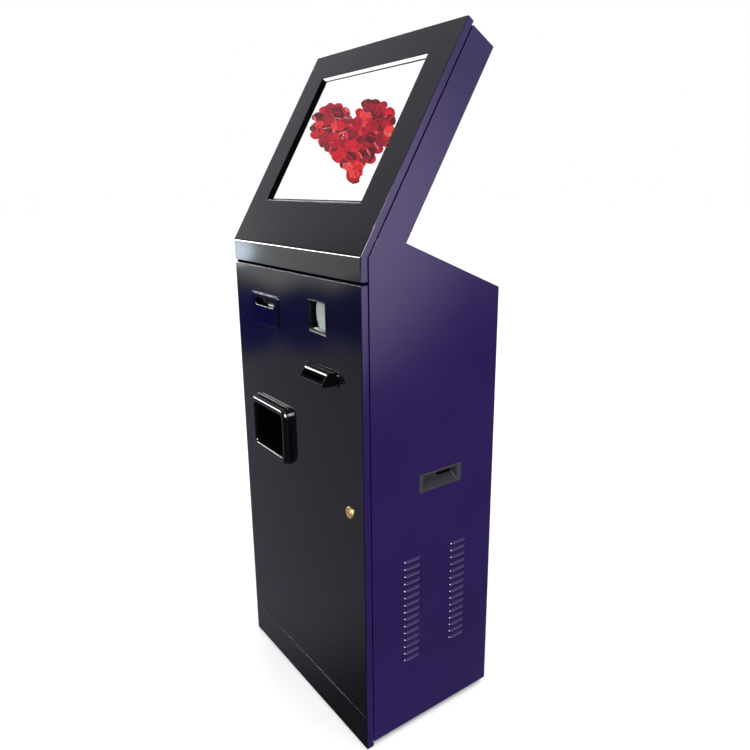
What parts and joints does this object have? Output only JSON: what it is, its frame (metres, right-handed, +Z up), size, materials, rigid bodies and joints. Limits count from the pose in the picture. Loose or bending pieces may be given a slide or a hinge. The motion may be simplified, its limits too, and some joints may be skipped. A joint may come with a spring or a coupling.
{
  "type": "ticket vending machine",
  "caption": "Free-standing steel ticket kiosk with a tilted touch screen, card slot, code scanner, banknote mouth, ticket bin and locking service doors.",
  "frame": {"origin": "on the floor, under the middle of the whole machine's box", "axes": "+Z up, the customer stands on the -Y side and faces +Y, +X is the customer's right"},
  "size_m": [0.5164, 0.3718, 1.4425],
  "materials": {
    "purple_paint": "gloss deep purple stoved paint on steel sheet",
    "black_paint": "gloss black stoved paint on steel sheet",
    "zinc_steel": "zinc-plated steel",
    "gloss_black_plastic": "moulded gloss black ABS",
    "matt_black_plastic": "moulded satin black plastic",
    "dark_grey_plastic": "dark grey moulded casing",
    "power_supply_metal": "folded aluminium casing",
    "red_plastic": "moulded translucent red rocker",
    "brass": "turned brass",
    "tinted_glass": "tinted glass",
    "touch_glass": "clear toughened glass",
    "screen": "lit liquid-crystal panel",
    "paper": "thermal paper"
  },
  "bodies": {
    "cabinet": {"side_panel_right": "purple_paint", "side_panel_left": "purple_paint", "roof_panel": "purple_paint", "head_back_panel": "purple_paint", "head_top_panel": "purple_paint", "rear_cover": "purple_paint", "rear_cover_screws": "zinc_steel", "rear_sill": "purple_paint", "cover_flanges": "purple_paint", "base_pan": "zinc_steel", "cross_rail": "purple_paint", "lock_jamb": "purple_paint", "plinth_shell": "purple_paint", "plinth_face": "black_paint", "door_bumpers": "matt_black_plastic", "levelling_feet": "zinc_steel", "handle_right": "matt_black_plastic", "handle_left": "matt_black_plastic", "computer_case": "dark_grey_plastic", "power_supply": "power_supply_metal", "fan_frame": "matt_black_plastic", "power_inlet": "matt_black_plastic", "cable_grommet": "matt_black_plastic", "door_hinge_arms": "zinc_steel", "head_hinge_leaves": "zinc_steel", "latch_housing": "zinc_steel"},
    "fan": {"fan_rotor": "matt_black_plastic"},
    "power_switch": {"rocker_switch": "red_plastic"},
    "head_latch": {"latch_bolt": "zinc_steel"},
    "front_door": {"front_door_shell": "purple_paint", "front_door_face": "black_paint", "door_hinge_leaves": "zinc_steel", "door_hinge_pins": "zinc_steel", "card_reader_bezel": "gloss_black_plastic", "card_reader_body": "dark_grey_plastic", "scanner_frame": "matt_black_plastic", "scanner_window": "tinted_glass", "scanner_module": "dark_grey_plastic", "bill_snout": "gloss_black_plastic", "bill_acceptor": "dark_grey_plastic", "cash_box_cradle": "zinc_steel", "printer_frame": "zinc_steel", "ticket_chute": "zinc_steel", "ticket_bin_frame": "gloss_black_plastic", "ticket_bin_tray": "matt_black_plastic", "lock_barrel": "brass"},
    "cash_box": {"cash_box": "dark_grey_plastic"},
    "paper_roll": {"paper_roll": "paper"},
    "platen": {"platen_roller": "matt_black_plastic"},
    "lock": {"lock_plug": "brass", "lock_cam": "zinc_steel"},
    "head_door": {"head_door_shell": "purple_paint", "head_door_face": "black_paint", "screen_surround": "matt_black_plastic", "touch_glass": "touch_glass", "lcd_panel": "screen", "monitor_housing": "dark_grey_plastic", "head_door_hinge_leaves": "zinc_steel", "head_hinge_pins": "zinc_steel", "latch_catch": "zinc_steel"}
  },
  "joints": [
    {"name": "front_door_hinge", "type": "hinge", "parent": "cabinet", "child": "front_door", "pos_m": [-0.246, -0.1499, 0.532], "axis": [0, 0, -1], "range_deg": [0, 90]},
    {"name": "head_door_hinge", "type": "hinge", "parent": "cabinet", "child": "head_door", "pos_m": [0, 0.09687, 1.43039], "axis": [-1, 0, 0], "range_deg": [0, 60]},
    {"name": "lock_turn", "type": "hinge", "parent": "front_door", "child": "lock", "pos_m": [0.2076, -0.1489, 0.5335], "axis": [0, -1, 0], "range_deg": [0, 90]},
    {"name": "cash_box_slide", "type": "slide", "parent": "front_door", "child": "cash_box", "axis": [0, 1, 0], "range_m": [0, 0.08]},
    {"name": "paper_roll_spin", "type": "hinge", "parent": "front_door", "child": "paper_roll", "pos_m": [-0.101, -0.0309, 0.78], "axis": [1, 0, 0], "continuous": true},
    {"name": "platen_spin", "type": "hinge", "parent": "front_door", "child": "platen", "pos_m": [-0.101, -0.1119, 0.718], "axis": [1, 0, 0], "continuous": true},
    {"name": "fan_spin", "type": "hinge", "parent": "cabinet", "child": "fan", "pos_m": [0, 0.1691, 0.802], "axis": [0, 1, 0], "continuous": true},
    {"name": "power_switch_rock", "type": "hinge", "parent": "cabinet", "child": "power_switch", "pos_m": [0.15, 0.1795, 0.084], "axis": [1, 0, 0], "range_deg": [0, 14]},
    {"name": "head_latch_slide", "type": "slide", "parent": "cabinet", "child": "head_latch", "axis": [0, 0, 1], "range_m": [0, 0.014]}
  ],
  "couplings": [
    {"joint": "platen_spin", "follows": "paper_roll_spin", "ratio": -5}
  ]
}
